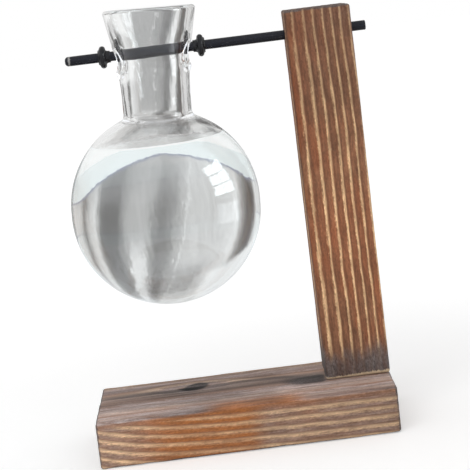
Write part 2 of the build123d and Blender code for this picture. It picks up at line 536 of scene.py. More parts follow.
class Finish(Nodes):
    """One material's nodes, in short form."""

    def __init__(self, name):
        self.material = bpy.data.materials.new(name)
        self.material.use_nodes = True
        super().__init__(self.material.node_tree)

    def apart(self, value, place):
        """How far a value is from a place."""
        return self.sum("ABSOLUTE", self.minus(value, place))

    def beside(self, value, place, low, high):
        """A smooth step, from 0 at low to 1 at high, in how far a value is from a place."""
        return self.step(self.apart(value, place), low, high)

    def spot(self):
        """The X, Y and Z of Object coordinates."""
        place = self.node("ShaderNodeTexCoord").outputs["Object"]
        return self.node("ShaderNodeSeparateXYZ", {0: place}).outputs

    def value(self, name):
        """A value that the mesh carries."""
        return self.node("ShaderNodeAttribute", attribute_name=name).outputs["Fac"]

    def place(self, scale=(1, 1, 1), offset=(0, 0, 0)):
        """Object coordinates, scaled and shifted."""
        spot = self.node("ShaderNodeTexCoord").outputs["Object"]
        return self.node("ShaderNodeMapping", {
            "Vector": spot, "Scale": scale, "Location": offset,
        }).outputs[0]

    def mottle(self, lump, detail=3.0, roughness=0.55, offset=(0, 0, 0)):
        """Noise from 0 to 1 in lumps of about that many millimetres along X, Y and Z."""
        scale = tuple(1 / (size * mm) for size in lump)
        raw = self.node("ShaderNodeTexNoise", {
            "Vector": self.place(scale, offset), "Scale": 1.0, "Detail": detail, "Roughness": roughness,
        }).outputs["Fac"]
        return self.node("ShaderNodeMapRange", {"Value": raw, "From Min": 0.3, "From Max": 0.7}).outputs[0]

    def step(self, value, low, high):
        """A smooth step from 0 at low to 1 at high."""
        return self.node("ShaderNodeMapRange", {
            "Value": value, "From Min": low, "From Max": high,
        }, interpolation_type="SMOOTHSTEP").outputs[0]

    def range(self, value, low, high):
        """A value from 0 to 1 spread from low to high."""
        return self.node("ShaderNodeMapRange", {"Value": value, "To Min": low, "To Max": high}).outputs[0]

    def mix(self, factor, first, second, blend="MIX"):
        """Two colours mixed."""
        made = self.node("ShaderNodeMix", data_type="RGBA", blend_type=blend)
        for socket, value in ((made.inputs[0], factor), (made.inputs[6], first), (made.inputs[7], second)):
            if isinstance(value, bpy.types.NodeSocket):
                self.tree.links.new(value, socket)
            elif socket.type == "RGBA":
                socket.default_value = (*value, 1.0)
            else:
                socket.default_value = value
        return made.outputs[2]

    def scaled(self, shade, amount):
        """A colour made lighter or darker."""
        even = self.node("ShaderNodeCombineXYZ", {0: amount, 1: amount, 2: amount}).outputs[0]
        return self.mix(1.0, shade, even, "MULTIPLY")

    def bump(self, height, depth, strength=1.0):
        """A bump of that depth in millimetres."""
        return self.node("ShaderNodeBump", {
            "Height": height, "Distance": depth * mm, "Strength": strength,
        }).outputs[0]

    def surface(self, **inputs):
        """The Principled shader. Underscores in the names stand for spaces."""
        named = {name.replace("_", " "): value for name, value in inputs.items()}
        if not isinstance(named["Base Color"], bpy.types.NodeSocket):
            named["Base Color"] = (*named["Base Color"], 1.0)
        return self.node("ShaderNodeBsdfPrincipled", named).outputs[0]

    def through(self, amount):
        """A shader that lets this share of the light go straight on."""
        return self.node("ShaderNodeBsdfTransparent", {"Color": (amount, amount, amount, 1.0)}).outputs[0]

    def glow(self, shade, strength=1.0):
        """A shader that shines."""
        return self.node("ShaderNodeEmission", {"Color": shade, "Strength": strength}).outputs[0]

    def done(self, shader):
        """Ends the material with this shader."""
        self.node("ShaderNodeOutputMaterial", {"Surface": shader})
        return self.material


def wood_finish(name, settings, along, seed):
    """Charred, brushed and oiled pine. along is the grain's direction: 0 for X, 2 for Z."""
    finish = Finish(name)

    def grain(size, stretch, detail, shift):
        """Noise in lumps of that many millimetres, stretched along the grain."""
        lump = [size, size, size]
        lump[along] = size * stretch
        return finish.mottle(lump, detail=detail, roughness=0.6, offset=(seed + shift, shift, seed - shift))

    speck = grain(0.55, 2.2, 3, 0.0)
    fibre = grain(0.5, 14, 3, 1.3)
    streak = grain(1.5, 10, 3, 2.1)
    blotch = grain(2.6, 3.5, 3, 3.7)
    patch = grain(8.0, 3.0, 2, 5.2)
    ring = finish.plus(finish.value("ring"), finish.range(streak, -0.07, 0.07))
    ring = finish.plus(ring, finish.range(speck, -0.045, 0.045))
    hard = finish.step(finish.sum("PINGPONG", ring, 0.5), settings.line_width, 0.0)
    broken = finish.times(finish.range(blotch, 0.55, 1.1), finish.range(fibre, 0.7, 1.1))
    hard = finish.times(finish.times(hard, broken), finish.value("lines"))
    wood = finish.mix(finish.times(finish.plus(blotch, streak), 0.5), settings.deep, settings.soft)
    wood = finish.mix(finish.times(finish.step(patch, 0.45, 1.0), 0.4), wood, settings.warm)
    warmed = finish.times(finish.value("warm"), finish.range(blotch, 0.5, 1.0))
    wood = finish.mix(warmed, wood, settings.warm)
    greyed = finish.mix(finish.times(finish.plus(fibre, streak), 0.5), settings.deep, settings.grey)
    wood = finish.mix(finish.value("grey"), wood, greyed)
    darkest = 0.27  # of a year ring past its hard line
    late = finish.step(finish.sum("PINGPONG", finish.minus(ring, darkest), 0.5), 0.17, 0.04)
    late = finish.times(late, finish.range(fibre, 0.2, 0.8))
    wood = finish.mix(late, wood, settings.deep)
    wood = finish.mix(hard, wood, settings.line)
    shade = finish.times(finish.range(speck, 0.78, 1.22), finish.range(fibre, 0.82, 1.18))
    wood = finish.scaled(wood, shade)
    # The char mask also holds the painted shadow beside the post's foot, which is mixed in here with the
    # burnt wood
    ragged = finish.times(finish.range(blotch, -0.2, 0.2), finish.step(finish.value("char"), 0.0, 0.3))
    burnt_and_shaded = finish.plus(finish.value("char"), ragged)
    burnt_and_shaded = finish.times(finish.step(burnt_and_shaded, 0.0, 1.0), 0.96)
    ash = finish.mix(finish.times(speck, finish.range(blotch, 0.2, 1.0)), settings.char, settings.ash)
    wood = finish.scaled(finish.mix(burnt_and_shaded, wood, ash), finish.value("tone"))
    bare = finish.step(finish.plus(finish.value("bare"), finish.range(fibre, -0.3, 0.3)), 0.3, 0.8)
    wood = finish.mix(bare, wood, settings.bare)
    rough = finish.range(finish.plus(fibre, finish.times(burnt_and_shaded, 0.5)), 0.5, 0.72)
    relief = finish.bump(finish.plus(fibre, finish.times(speck, 0.8)), 0.09, 0.8)
    return finish.done(finish.surface(
        Base_Color=wood, Roughness=rough, Normal=relief, Specular_IOR_Level=0.25,
    ))


def clear_finish(name, tint, bend, waviness, lamp_share):
    """Clear glass or water that lets the lamps' light through to what is behind it.

    A ray's last bounces go straight on, because the renderer leaves a ray that it cuts off black.
    """
    finish = Finish(name)
    waves = finish.mottle((9, 9, 16), detail=1, roughness=0.4)
    fine = finish.mottle((2.0, 2.0, 4.5), detail=2)
    relief = finish.bump(finish.plus(waves, finish.times(fine, 0.2)), waviness)
    body = finish.surface(Base_Color=tint, Roughness=0.0, IOR=bend, Transmission_Weight=1.0, Normal=relief)
    path = finish.node("ShaderNodeLightPath").outputs
    late_gloss = finish.sum("GREATER_THAN", path["Glossy Depth"], 3.5)
    late_ray = finish.sum("GREATER_THAN", path["Ray Depth"], 10.5)
    last = finish.sum("MAXIMUM", late_gloss, late_ray)
    body = finish.blend(last, body, finish.through(1.0))
    return finish.done(finish.blend(path["Is Shadow Ray"], body, finish.through(lamp_share)))


def paint_finish(settings):
    """Satin black paint on the rod, worn to bare steel round the nose and rubbed thin in scattered scuffs.
    """
    finish = Finish("black_steel_paint")
    x = finish.spot()[0]
    peel = finish.mottle((0.8, 0.5, 0.5), detail=2)
    scuff = finish.mottle((3.5, 0.35, 0.35), detail=3, roughness=0.7)
    nose = float(rod_low[0]) + settings.nose_radius
    away = finish.apart(x, nose + 0.35 * mm)
    worn = finish.step(finish.plus(away, finish.range(peel, -0.25 * mm, 0.25 * mm)), 0.55 * mm, 0.2 * mm)
    rubbed = finish.times(finish.step(scuff, 0.9, 1.0), 0.3)
    worn = finish.sum("MAXIMUM", worn, rubbed)
    shade = finish.mix(finish.range(peel, 0.0, 1.0), settings.paint, tone(32, 34, 43))
    shade = finish.mix(worn, shade, settings.steel)
    rough = finish.range(scuff, 0.22, 0.36)
    return finish.done(finish.surface(
        Base_Color=shade, Roughness=rough, Metallic=finish.times(worn, 0.8), Specular_IOR_Level=0.22,
        Normal=finish.bump(peel, 0.02, 0.6),
    ))


def rubber_finish(settings):
    """Black rubber with a dusty bloom."""
    finish = Finish("black_rubber_moulded")
    bloom = finish.mottle((1.1, 1.1, 1.1), detail=4, roughness=0.65)
    grain = finish.mottle((0.18, 0.18, 0.18), detail=2)
    shade = finish.mix(finish.step(bloom, 0.55, 0.95), settings.rubber, tone(40, 40, 44))
    rough = finish.range(bloom, 0.24, 0.40)
    return finish.done(finish.surface(
        Base_Color=shade, Roughness=rough, Specular_IOR_Level=0.32, Normal=finish.bump(grain, 0.02, 0.5),
    ))


def zinc_finish(settings):
    """Zinc-plated steel, lightly tarnished."""
    finish = Finish("zinc_steel_plated")
    bloom = finish.mottle((1.6, 1.6, 1.6), detail=4, roughness=0.6)
    lines = finish.mottle((0.15, 0.15, 1.5), detail=2)
    shade = finish.mix(finish.step(bloom, 0.4, 0.75), settings.zinc, tone(140, 132, 112))
    rough = finish.range(bloom, 0.22, 0.42)
    return finish.done(finish.surface(
        Base_Color=shade, Roughness=rough, Metallic=1.0, Normal=finish.bump(lines, 0.015, 0.5),
    ))


# Boards

def edge_lines(low, high, cell, arris):
    """Grid lines across a board: close ones round each arris and even ones between."""
    turns = np.tan(np.linspace(0, pi / 4, 5))
    near = low + arris * (1 - turns[::-1])
    far = high - arris * (1 - turns)
    middle = np.linspace(low + arris, high - arris, int(round((high - low - 2 * arris) / cell)) + 1)
    return np.concatenate([near[:-1], middle, far[1:]])


def board_normals(points, low, high, arris):
    """Outward directions on a rounded board, and none for points inside it."""
    out = points - np.clip(points, low + arris, high - arris)
    size = np.linalg.norm(out, axis=1, keepdims=True)
    return np.where(size > 0.5 * arris, out / np.maximum(size, 1e-9), 0)


def board(name, low, high, cell, arris):
    """A gridded box with rounded arrises. cell is the grid's size along X, Y and Z, in millimetres."""
    lines = [edge_lines(*ends, step * mm, arris) for *ends, step in zip(low, high, cell)]
    counts = [len(line) for line in lines]
    quads = []
    for axis, across, along in ((0, 1, 2), (1, 2, 0), (2, 0, 1)):
        i, j = np.meshgrid(np.arange(counts[across] - 1), np.arange(counts[along] - 1), indexing="ij")
        for side in (0, counts[axis] - 1):
            corners = []
            for right, up in ((0, 0), (1, 0), (1, 1), (0, 1)):
                index = [None, None, None]
                index[axis] = np.full(i.shape, side)
                index[across] = i + right
                index[along] = j + up
                corners.append(np.ravel_multi_index(index, counts).ravel())
            quads.append(np.stack(corners if side else corners[::-1], -1))
    used, quads = np.unique(np.concatenate(quads), return_inverse=True)
    spots = np.unravel_index(used, counts)
    points = np.stack([line[spot] for line, spot in zip(lines, spots)], -1)
    core = np.clip(points, low + arris, high - arris)
    points = core + arris * (points - core) / np.linalg.norm(points - core, axis=1, keepdims=True)
    return new_object(name, new_mesh(name, points, quads.reshape(-1, 4)))


def off_hard_line(rings):
    """How far each point is from the nearest hard line, from 0 to 0.5 of a ring."""
    return np.abs(rings - np.round(rings))


def brush(mesh, low, high, settings, rings, along, still, seed):
    """Sinks the soft wood, raises the fibres and wears the arrises, all inwards."""
    points = points_of(mesh)
    normals = board_normals(points, low, high, settings.arris)
    stretch = np.ones(3)
    stretch[along] = 20.0
    fibres = noise(points, 0.9 * stretch, seed) * 0.6 + noise(points, 0.45 * stretch, seed + 1) * 0.4
    depth = settings.brush_depth * ease(off_hard_line(rings), 0.06, 0.3)
    depth = depth * (0.6 + 0.8 * noise(points, 6.0 * stretch, seed + 2)) * 0.7
    depth = depth * (1 - 0.85 * np.abs(normals[:, along]))
    depth += settings.fibre_depth * fibres
    near = np.sort(np.minimum(points - low, high - points), axis=1)[:, 1]
    worn = ease(noise(points, (7, 7, 7), seed + 3), 0.45, 0.95) + 0.25 * noise(points, (2, 2, 2), seed + 4)
    depth += settings.wear_depth * worn * ease(near, 2.2 * mm, 0.0)
    move_points(mesh, points - normals * (depth * (1 - still))[:, None])


def edge_distance(points, low, high):
    """How far each point is from the nearest edge of its board, in millimetres."""
    return np.sort(np.concatenate([points - low, high - points], axis=1), axis=1)[:, 1] / mm


def dress(piece, rings, tones, material, masks):
    """Gives a board the values that its wood reads, its shading and the wood itself."""
    mesh = piece.data
    for name, values in masks.items():
        give_values(mesh, name, np.clip(values, 0, 1))
    give_values(mesh, "tone", tones)
    give_values(mesh, "ring", rings)
    outward(piece)
    mesh.set_sharp_from_angle(angle=radians(50))
    mesh.materials.clear()
    mesh.materials.append(material)


def post_rings(points):
    """Year-ring numbers in the post. The tree's middle lies to its left and near its back."""
    across, back, up = (points - post_low).T / mm
    pith_left, pith_back = 60.0, 20.0
    lines = np.array([-6.5, -2.0, 3.2, 8.2, 12.4, 16.5, 20.1, 23.7, 27.4, 31.0])
    across = across + 0.9 * ease(up, 100, 150) * np.clip(across / 12, 0, 1)
    across = across + 0.7 * (noise(points, (38, 20, 44), 11) - 0.5)
    across = across + 0.2 * (noise(points, (20, 20, 11), 12) - 0.5)
    reach = np.hypot(across + pith_left, back - pith_back)
    return np.interp(reach, np.hypot(lines + pith_left, pith_back), np.arange(len(lines)) - 2.0)


def base_rings(points):
    """Year-ring numbers in the plank. The tree's middle lies below it, and the grain climbs at the left."""
    along, back, up = (points - base_low).T / mm
    pith_down, pith_back = 60.0, 35.0
    knot_reach = 11.0
    lines = np.array([-7.0, -3.2, 0.6, 4.4, 7.9, 11.6, 15.1, 18.7, 22.3])
    up = up - 8.2 * np.exp(-along / 27.0) * ease(back, 7, 0) + 1.1 * (noise(points, (45, 18, 30), 21) - 0.5)
    near_knot = np.hypot((along - knot_along) * 0.7, (back - knot_back) * 1.5)
    up = up - 3.4 * np.exp(-((near_knot / knot_reach) ** 2))
    reach = np.hypot(back - pith_back, up + pith_down)
    return np.interp(reach, np.hypot(pith_back, lines + pith_down), np.arange(len(lines)) - 2.0)


def base_masks(points):
    """How light the plank is at each point, and its char with the painted shadow beside the post's foot,
    stains, hard lines and bare wood.
    """
    along, back, up = (points - base_low).T / mm
    span, _, tall = (base_high - base_low) / mm
    front = ease(back, 3.0, 0.6)
    on_top = ease(up, tall - 2.0, tall - 0.3)
    patch = noise(points, (26, 12, 8), 22)
    fine = noise(points, (9, 4, 3), 23)
    edge = edge_distance(points, base_low, base_high)
    char = 0.5 * ease(edge, 1.3, 0.2) * ease(fine, 0.25, 0.7)
    char += 0.7 * ease(along, 1.4, 0.2) + 0.55 * ease(span - along, 1.2, 0.2)
    char += 0.6 * ease(up, 0.8, 0.2)
    off_knot = along - knot_along
    peak = np.where(back > knot_back, np.abs(off_knot - 2) / 5.5, np.abs(off_knot) / 6.5)
    knot = np.hypot(peak, (back - knot_back) / 6.0) * (0.8 + 0.4 * fine)
    char += on_top * 1.3 * ease(knot, 1.1, 0.7)
    band_line = 33.5 + 1.5 * np.sin(along / 9) - 3.5 * ease(along, 76, 88)
    band = beside(back, band_line, 10.5, 3) * ease(along, -12, 14) * ease(along, 99, 96)
    # Char along the band, deepening towards the post's foot: burnt wood, and near the foot painted shadow
    # of the post
    char += on_top * band * (0.12 + 0.75 * ease(along, 68, 90)) * (0.6 + 0.8 * fine)
    streaks = 0.6 * noise(points, (60, 2.6, 8), 24) + 0.4 * noise(points, (30, 1.1, 8), 25)
    honey = ease(back, 13.0, 5.0) * beside(along, 66, 26, 12)
    strip = front * ease(up, 16.6, 17.8)
    warm = front * ease(along, 72, 62) * ease(along, 6, 26) * (0.55 + 0.5 * patch)
    rim = ease(back, 3.6, 1.6) * ease(along, 62, 40)
    warm += on_top * (0.9 * honey + 0.5 * rim) + 0.5 * strip
    grey = on_top * (0.7 + 0.5 * patch) * (1 - 0.8 * honey) + 0.45 * front * ease(along, 34, 8)
    grey += front * ease(along, 62, 74) * (0.2 + 0.5 * patch) * ease(up, 19.5, 17)
    lines = np.where(on_top > 0.5, 0.15 + 0.4 * ease(back, 38, 44), 1.0)
    lines *= (0.8 + 0.3 * patch) * (1 - 0.9 * strip)
    lines *= 1 - 0.3 * front * ease(along, 72, 62) * ease(along, 18, 34)
    tones = 1 + front * (0.26 * ease(along, 36, 6) - 0.12 * ease(along, 100, 122)) - 0.12 * strip
    pale = 0.1 + 0.6 * beside(back, 8, 12, 4) * ease(along, 50, 22)
    pale += 0.55 * beside(back, 11, 14, 7) * ease(along, 72, 82)
    pale += 0.4 * beside(back, 19.5, 7, 3) * beside(along, 74, 15, 6)
    pale += 0.35 * beside(back, 43, 7, 3) * ease(along, 70, 86)
    pale += 0.22 * beside(back, 24, 5, 1.5) * ease(along, 50, 30)
    pale += 1.5 * (streaks - 0.5) - 0.25 * beside(along, 72, 14, 6) * ease(back, 12, 5) - 0.35 * rim
    # The band darkens the top, most near the post's foot, where this is painted shadow of the post; the
    # knot darkens it too
    darkening_and_shadow = (0.48 + 0.16 * beside(along, 32, 15, 6)) * band + 0.45 * ease(knot, 1.2, 0.7)
    tones += on_top * (pale - darkening_and_shadow)
    bare = np.zeros(len(points))
    return tones, {"char": char, "warm": warm, "grey": grey, "lines": lines, "bare": bare}


class VASE_OT_base_plank(Operator):
    """Make the charred plank that lies on the table"""

    bl_idname = "vase.base_plank"
    bl_label = "Base Plank"

    def execute(self, context):
        settings = context.scene.vase_base
        screws = context.scene.vase_screws
        low, high = base_low, base_high
        piece = board("charred_base", low, high, (1.0, 0.55, 0.45), settings.arris)
        well = screws.head_radius + screws.head_gap
        shank = screws.radius + screws.hole_gap
        top = high[2] - low[2] + overrun
        seat = screws.sink + screws.head_height
        profile = np.array([
            (0, -overrun), (well, -overrun), (well, screws.sink), (shank, seat), (shank, top), (0, top),
        ])
        first = (screws_low + screws_high) / 2 - (screws.spacing / 2, 0, 0)
        for number in range(2):
            cutter = turned("well", profile, {"Spokes": 48})
            place = (first[0] + number * screws.spacing, first[1], low[2])
            cutter.data.transform(Matrix.Translation(place))
            cut(piece, cutter)
        points = points_of(piece.data)
        rings = base_rings(points)
        x, y, z = points.T
        off_post = np.maximum(post_low[0] - x, np.maximum(post_low[1] - y, y - post_high[1]))
        still = ease(off_post, 1.5 * mm, 0) * ease(z, high[2] - 1.5 * mm, high[2] - 0.5 * mm)
        brush(piece.data, low, high, settings, rings, 0, still, 31)
        tones, masks = base_masks(points)
        dress(piece, rings, tones, wood_finish("charred_pine_base", settings, 0, 3.0), masks)
        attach(piece, "stand")
        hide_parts("base_plank")
        return {"FINISHED"}


def post_masks(points):
    """How light the post is at each point, and its char with darker side faces and a dark ring round the
    rod's bore, stains, hard lines and bare wood.
    """
    across, _, up = (points - post_low).T / mm
    wide, _, tall = (post_high - post_low) / mm
    slow = noise(points, (30, 30, 40), 42)
    patch = noise(points, (9, 9, 26), 43)
    fine = noise(points, (3, 3, 8), 44)
    edge = edge_distance(points, post_low, post_high)
    char = 0.22 * ease(edge, 1.5, 0.3) * ease(fine, 0.2, 0.8)
    char += 0.5 * ease(tall - up, 1.0, 0.1) + 0.25 * ease(tall - up, 16, 2) * patch
    char += 0.8 * ease(up + 7 * (fine - 0.5) + 4 * (patch - 0.5), 19, 5)
    # Both side faces a little darker
    char += 0.15 * ease(np.maximum(across, wide - across), wide - 0.6, wide)
    # Darker round the rod's bore, up to 1.2 mm out from its edge
    from_rod = np.hypot(points[:, 1] - rod_y, points[:, 2] - rod_z) / mm
    char = np.maximum(char, 0.9 * ease(from_rod, 3.2, 2.1))
    warm = 0.75 * beside(up, 118, 26, 6) * ease(across, 8, 1) + 0.35 * ease(slow, 0.45, 0.8)
    grey = 0.35 * ease(up, 105, 150) * patch + 0.3 * ease(up, 22, 10)
    lines = (0.72 + 0.36 * patch + 0.18 * beside(up, 62, 40, 12)) * (1 - 0.35 * ease(up, 110, 155))
    lines *= 1 - 0.75 * ease(up, 16, 6)
    bare = 0.85 * ease(up, 2.1, 1.0) * (0.45 + 0.55 * ease(across, 6, 20)) + 0.45 * ease(up, 1.4, 0.5)
    tones = 1 - 0.18 * ease(up, 98, 124) + 0.12 * beside(up, 58, 50, 20) + 0.16 * (fine - 0.5)
    return tones, {"char": char, "warm": warm, "grey": grey, "lines": lines, "bare": bare}


class VASE_OT_upright_post(Operator):
    """Make the charred post with the rod's bore"""

    bl_idname = "vase.upright_post"
    bl_label = "Upright Post"

    def execute(self, context):
        settings = context.scene.vase_post
        rod = context.scene.vase_rod
        low, high = post_low, post_high
        piece = board("charred_post", low, high, (0.5, 0.55, 1.0), settings.arris)
        bore = rod_radius + rod.fit
        reach = high[0] - low[0] + 4 * overrun
        profile = np.array([(0, 0), (bore, 0), (bore, reach), (0, reach)])
        cutter = turned("bore", profile, {"Spokes": 64})
        laid_along_x(cutter, (low[0] - 2 * overrun, rod_y, rod_z))
        cut(piece, cutter)
        points = points_of(piece.data)
        rings = post_rings(points)
        still = 0.7 * ease(points[:, 2] - low[2], 1.2 * mm, 0.2 * mm)
        brush(piece.data, low, high, settings, rings, 2, still, 41)
        tones, masks = post_masks(points)
        dress(piece, rings, tones, wood_finish("charred_pine_post", settings, 2, 7.0), masks)
        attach(piece, "stand")
        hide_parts("upright_post")
        return {"FINISHED"}


def recess_arm(settings, turn):
    """A block that cuts one arm of a screw's cross recess."""
    size = (settings.recess_span, settings.recess_width, 2 * settings.recess_depth)
    place = Matrix.Rotation(turn, 4, "Z") @ Matrix.Diagonal((*size, 1))
    block = bmesh.new()
    bmesh.ops.create_cube(block, size=1.0, matrix=place)
    bmesh.ops.bevel(block, geom=block.edges, offset=settings.recess_edge, segments=2, affect="EDGES")
    mesh = bpy.data.meshes.new("recess")
    block.to_mesh(mesh)
    block.free()
    return new_object("recess", mesh)


class VASE_OT_foot_screws(Operator):
    """Make the two countersunk screws under the base"""

    bl_idname = "vase.foot_screws"
    bl_label = "Foot Screws"

    def execute(self, context):
        settings = context.scene.vase_screws
        height = screws_high[2] - screws_low[2]
        neck = settings.head_height + settings.plain
        shank_end = height - settings.tip
        core = settings.radius - hair
        edge = settings.edge_radius
        rise = np.linspace(neck, shank_end, 160)
        tip = np.linspace(shank_end, height, 24)[1:]
        profile = joined(
            np.array([(0, 0), (settings.head_radius - edge, 0)]),
            arc((settings.head_radius - edge, edge), edge, -90, 40, 4),
            np.array([(core, settings.head_height), (core, neck)]),
            np.stack([np.full(len(rise), core), rise], -1),
            np.stack([core * (height - tip) / settings.tip, tip], -1),
        )
        marks = ease(profile[:, 1], neck, neck + 2 * mm) * ease(profile[:, 1], height, height - 2 * mm)
        screw = turned("foot_screw", profile, {
            "Spokes": 40, "Thread Pitch": settings.thread_pitch, "Thread Depth": settings.thread_depth,
        }, marks)
        for turn in (0, pi / 2):
            cut(screw, recess_arm(settings, turn))
        middle = (screws_low + screws_high) / 2
        first = (middle[0] - settings.spacing / 2, middle[1], screws_low[2])
        piece = shaped_by(screw, line_tree(), {
            "Count": 2, "First": first, "Spacing": settings.spacing, "Turn": 0.6,
            "Finish": zinc_finish(settings),
        })
        outward(piece)
        piece.data.set_sharp_from_angle(angle=radians(35))
        piece.name = "countersunk_screws"
        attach(piece, "stand")
        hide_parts("foot_screws")
        return {"FINISHED"}


class VASE_OT_hanging_rod(Operator):
    """Make the black rod, domed at its free end"""

    bl_idname = "vase.hanging_rod"
    bl_label = "Hanging Rod"

    def execute(self, context):
        settings = context.scene.vase_rod
        reach = rod_high[0] - rod_low[0]
        nose, edge = settings.nose_radius, settings.edge_radius
        straight = np.linspace(nose, reach - edge, 60)
        profile = joined(
            np.array([(0, 0)]),
            arc((rod_radius - nose, nose), nose, -90, 0, 12),
            np.stack([np.full(len(straight), rod_radius), straight], -1),
            arc((rod_radius - edge, reach - edge), edge, 0, 90, 6),
            np.array([(0, reach)]),
        )
        piece = turned("black_rod", profile, {"Spokes": 72, "Finish": paint_finish(settings)})
        laid_along_x(piece, (rod_low[0], rod_y, rod_z))
        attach(piece, "rod")
        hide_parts("hanging_rod")
        return {"FINISHED"}


def ring_profile(settings, outer, reach):
    """A rubber ring's profile with its bead at zero, its collar below that and its sleeve above."""
    bead, soft, collar = settings.bead_radius, settings.soft_edge, settings.collar_reach
    bore = rod_radius + settings.fit
    sleeve, sleeve_end = bore + settings.sleeve_wall, reach - collar
    middle = outer - bead
    flank = np.linspace(0, 1, 13)[:, None]
    start, bend, end = np.array([(2 * bead, sleeve), (bead, sleeve), (bead, middle)])[:, None, :]
    curve = ((1 - flank) ** 2 * start + 2 * flank * (1 - flank) * bend + flank**2 * end)[:, ::-1]
    return joined(
        np.array([(bore, -collar + soft)]),
        arc((bore + soft, -collar + soft), soft, 180, 270, 3),
        arc((settings.collar_radius - soft, -collar + soft), soft, -90, -20, 3),
        np.array([(middle, -bead)]),
        arc((middle, 0), bead, -90, 90, 28),
        curve[::-1],
        arc((sleeve - soft, sleeve_end - soft), soft, 0, 90, 3),
        arc((bore + soft, sleeve_end - soft), soft, 90, 180, 3),
        np.array([(bore, -collar + soft)]),
    )


class VASE_OT_stop_rings(Operator):
    """Make the two rubber rings that keep the vase in its place"""

    bl_idname = "vase.stop_rings"
    bl_label = "Stop Rings"

    def execute(self, context):
        settings = context.scene.vase_rod
        rubber = rubber_finish(settings)
        for side, flip in (("left", False), ("right", True)):
            low, high = (np.array(corner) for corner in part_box("stop_ring_" + side))
            profile = ring_profile(settings, (high[2] - low[2]) / 2, high[0] - low[0])
            piece = turned("rubber_ring_" + side, profile, {"Spokes": 72, "Finish": rubber})
            collar = settings.collar_reach
            bead_x = high[0] - collar if flip else low[0] + collar
            laid_along_x(piece, (bead_x, rod_y, rod_z), flip)
            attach(piece, side + "_ring")
            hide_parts("stop_ring_" + side)
        return {"FINISHED"}


# Glass and water

def shoulder(settings, inset_bulb, inset_neck):
    """Centre of the fillet between bulb and neck, and the angle at which it leaves the bulb, in degrees."""
    bulb = settings.bulb_radius - inset_bulb
    neck = settings.neck_radius - inset_neck
    top = -settings.bulb_drop + settings.bulb_band / 2
    radius = settings.shoulder_radius
    rise = sqrt((bulb + radius) ** 2 - (neck + radius) ** 2)
    return (neck + radius, top + rise), np.degrees(np.arctan2(rise, neck + radius))


def neck_radius_at(settings, height):
    """Outer radius of the neck at heights above the rod."""
    run = settings.flare_rise + settings.waist_drop
    gain = settings.flare_radius - settings.neck_radius
    bend = (gain**2 + run**2) / (2 * gain)
    above = np.clip(height + settings.waist_drop, 0, run)
    curved = settings.neck_radius + bend - np.sqrt(bend**2 - above**2)
    slope = (settings.rim_radius - settings.flare_radius) / (settings.rim_rise - settings.flare_rise)
    return curved + slope * np.clip(height - settings.flare_rise, 0, None)


def bulb_profile(settings, inset_bulb, inset_neck):
    """The bulb's profile from its bottom to the top of the shoulder, as (radius, height) points."""
    bulb = settings.bulb_radius - inset_bulb
    low = -settings.bulb_drop - settings.bulb_band / 2
    high = -settings.bulb_drop + settings.bulb_band / 2
    centre, leave = shoulder(settings, inset_bulb, inset_neck)
    return joined(
        arc((0, low), bulb, -90, 0, 52),
        arc((0, high), bulb, 0, leave, 40),
        arc(centre, settings.shoulder_radius, leave + 180, 180, 8),
    )


def leaned(settings, points):
    """Leans points given from the hang point towards the post and puts them in the frame."""
    x, y, z = points.T
    cosine, sine = cos(settings.lean), sin(settings.lean)
    return np.stack([x * cosine + z * sine, y, z * cosine - x * sine], -1) + hang_point


def blown(settings, turn, height, inner):
    """How far the blown glass departs from its radius at turns and heights: never outwards."""
    waves = (  # how many go round, their length up the glass in millimetres, phase and size
        (2, 55, 0.3, 1.0), (3, 38, 1.9, 0.8), (5, 24, 4.1, 0.5), (7, 60, 2.2, 0.35), (4, 13, 0.8, 0.25),
    )
    shift = 1.7 if inner else 0.0
    total = 0
    for around, long, phase, size in waves:
        swell = size * np.sin(around * turn + phase + shift)
        total = total + swell * np.sin(2 * pi * height / (long * mm) + phase * 2 + shift)
    largest = sum(size for *_, size in waves)
    return (total / largest - 1) / 2 * (settings.wall_ripple if inner else settings.ripple)


def polar(turn, height, radius):
    """Points from their turns about the vase's axis, their heights and their radii."""
    return np.stack([radius * np.cos(turn), radius * np.sin(turn), height + 0 * turn], -1)


class GlassSkin:
    """One skin of the vase, outer or inner: its radii by height, with the thick lips round its holes."""

    def __init__(self, settings, inner):
        self.settings = settings
        self.inner = inner
        self.inset = settings.neck_wall if inner else 0.0

    def point(self, turn, height):
        """Points in the vase's own frame at turns and heights on the neck."""
        radius = neck_radius_at(self.settings, height) - self.inset
        radius = radius + blown(self.settings, turn, height, self.inner) * ease(height, 16 * mm, 10 * mm)
        if self.inner:
            radius = radius - self.settings.collar * np.exp(-((height / self.settings.collar_reach) ** 2))
        return polar(turn, height, radius + self.lip(turn, height, radius))

    def lip(self, turn, height, radius):
        """How far the thick lips stand proud."""
        settings = self.settings
        proud = 0
        for side in (1, -1):
            centre = side * radius * sin(settings.lean) - settings.hole_drop - settings.lip_drop
            across = radius * np.sin(turn)
            facing = (side * np.cos(turn)) > 0
            off = np.hypot(across, height - centre)
            proud = proud + facing * ease(off, settings.lip_radius, settings.lip_radius * 0.45)
        height_here = -0.35 * settings.lip_height if self.inner else settings.lip_height
        return proud * height_here

    def hole_edge(self, side, turns):
        """Turns and heights of a level hole's edge on this skin, at these angles round the hole."""
        settings = self.settings
        radius = settings.hole_radius + settings.edge_round
        across = radius * np.sin(turns)
        level_here = radius * np.cos(turns) - settings.hole_drop
        height = level_here.copy()
        for _ in range(8):
            out = np.sqrt(np.maximum((neck_radius_at(settings, height) - self.inset) ** 2 - across**2, 0))
            along = (side * out + level_here * sin(settings.lean)) / cos(settings.lean)
            height = along * sin(settings.lean) + level_here * cos(settings.lean)
        return np.arctan2(across, side * out) % (2 * pi), height


